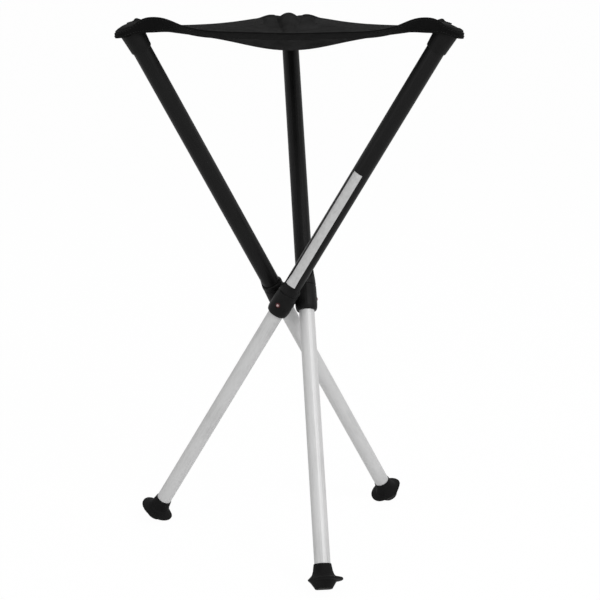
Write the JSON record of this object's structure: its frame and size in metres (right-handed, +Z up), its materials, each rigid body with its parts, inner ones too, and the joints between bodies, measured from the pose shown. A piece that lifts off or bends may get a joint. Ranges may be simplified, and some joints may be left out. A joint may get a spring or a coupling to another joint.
{
  "type": "folding tripod stool",
  "caption": "Tall folding stool: three tubular legs cross at a central pivot, slide to a shorter length and carry a three-cornered mesh seat between domed caps.",
  "frame": {"origin": "under the middle of the outline, on the floor that the feet stand on", "axes": "+Z up; the foot of the first leg points to -Y; metres"},
  "size_m": [0.4432, 0.4812, 0.7476],
  "materials": {
    "black_tube": "satin black",
    "black_plastic": "moulded, fine grain",
    "silver_tube": "anodised, satin",
    "rubber": "matte",
    "steel": "plain",
    "nylon": "plain",
    "red_plastic": "satin",
    "webbing": "woven band",
    "seat_mesh": "knitted mesh",
    "label": "brushed, bare"
  },
  "bodies": {
    "hub": {"hub_block": "nylon", "pivot_pin_1": "steel", "pivot_pin_2": "steel", "pivot_pin_3": "steel", "pivot_washer_1": "nylon", "pivot_washer_2": "nylon", "pivot_washer_3": "nylon", "seat_mesh": "seat_mesh", "seat_hem_1": "webbing", "seat_hem_2": "webbing", "seat_hem_3": "webbing"},
    "leg_1": {"upper_tube_1": "black_tube", "knuckle_1": "black_plastic", "button_bezel_1": "red_plastic", "seat_collar_1": "black_plastic", "leg_cap_1": "black_plastic", "corner_loop_1": "webbing"},
    "lower_1": {"lower_tube_1": "silver_tube", "tube_plug_1": "nylon", "snap_spring_1": "steel", "foot_1": "rubber"},
    "button_1": {"lock_button_1": "steel"},
    "leg_2": {"upper_tube_2": "black_tube", "knuckle_2": "black_plastic", "button_bezel_2": "red_plastic", "seat_collar_2": "black_plastic", "leg_cap_2": "black_plastic", "corner_loop_2": "webbing"},
    "lower_2": {"lower_tube_2": "silver_tube", "tube_plug_2": "nylon", "snap_spring_2": "steel", "foot_2": "rubber"},
    "button_2": {"lock_button_2": "steel"},
    "leg_3": {"upper_tube_3": "black_tube", "knuckle_3": "black_plastic", "button_bezel_3": "red_plastic", "seat_collar_3": "black_plastic", "leg_cap_3": "black_plastic", "corner_loop_3": "webbing", "label_plate": "label"},
    "lower_3": {"lower_tube_3": "silver_tube", "tube_plug_3": "nylon", "snap_spring_3": "steel", "foot_3": "rubber"},
    "button_3": {"lock_button_3": "steel"}
  },
  "joints": [
    {"name": "fold_1", "type": "hinge", "parent": "hub", "child": "leg_1", "pos_m": [0.012, -0.01257, 0.35206], "axis": [1, 0, 0], "range_deg": [0, 31.5], "deforming": ["seat_mesh", "seat_hem_1", "seat_hem_2", "seat_hem_3"]},
    {"name": "slide_1", "type": "slide", "parent": "leg_1", "child": "lower_1", "axis": [0, 0.5225, 0.8526], "range_m": [0, 0.35]},
    {"name": "press_1", "type": "slide", "parent": "leg_1", "child": "button_1", "axis": [-1, 0, 0], "range_m": [0, 0.002], "stiffness_N_per_m": 800},
    {"name": "fold_2", "type": "hinge", "parent": "hub", "child": "leg_2", "pos_m": [0.012, -0.01257, 0.35206], "axis": [-0.5, 0.866, 0], "range_deg": [0, 31.5], "deforming": ["seat_mesh", "seat_hem_1", "seat_hem_2", "seat_hem_3"]},
    {"name": "slide_2", "type": "slide", "parent": "leg_2", "child": "lower_2", "axis": [-0.4525, -0.2612, 0.8526], "range_m": [0, 0.35]},
    {"name": "press_2", "type": "slide", "parent": "leg_2", "child": "button_2", "axis": [0.5, -0.866, 0], "range_m": [0, 0.002], "stiffness_N_per_m": 800},
    {"name": "fold_3", "type": "hinge", "parent": "hub", "child": "leg_3", "pos_m": [0.012, -0.01257, 0.35206], "axis": [-0.5, -0.866, 0], "range_deg": [0, 31.5], "deforming": ["seat_mesh", "seat_hem_1", "seat_hem_2", "seat_hem_3"]},
    {"name": "slide_3", "type": "slide", "parent": "leg_3", "child": "lower_3", "axis": [0.4525, -0.2612, 0.8526], "range_m": [0, 0.35]},
    {"name": "press_3", "type": "slide", "parent": "leg_3", "child": "button_3", "axis": [0.5, 0.866, 0], "range_m": [0, 0.002], "stiffness_N_per_m": 800}
  ],
  "couplings": [
    {"joint": "fold_2", "follows": "fold_1", "ratio": 1},
    {"joint": "fold_3", "follows": "fold_1", "ratio": 1}
  ]
}
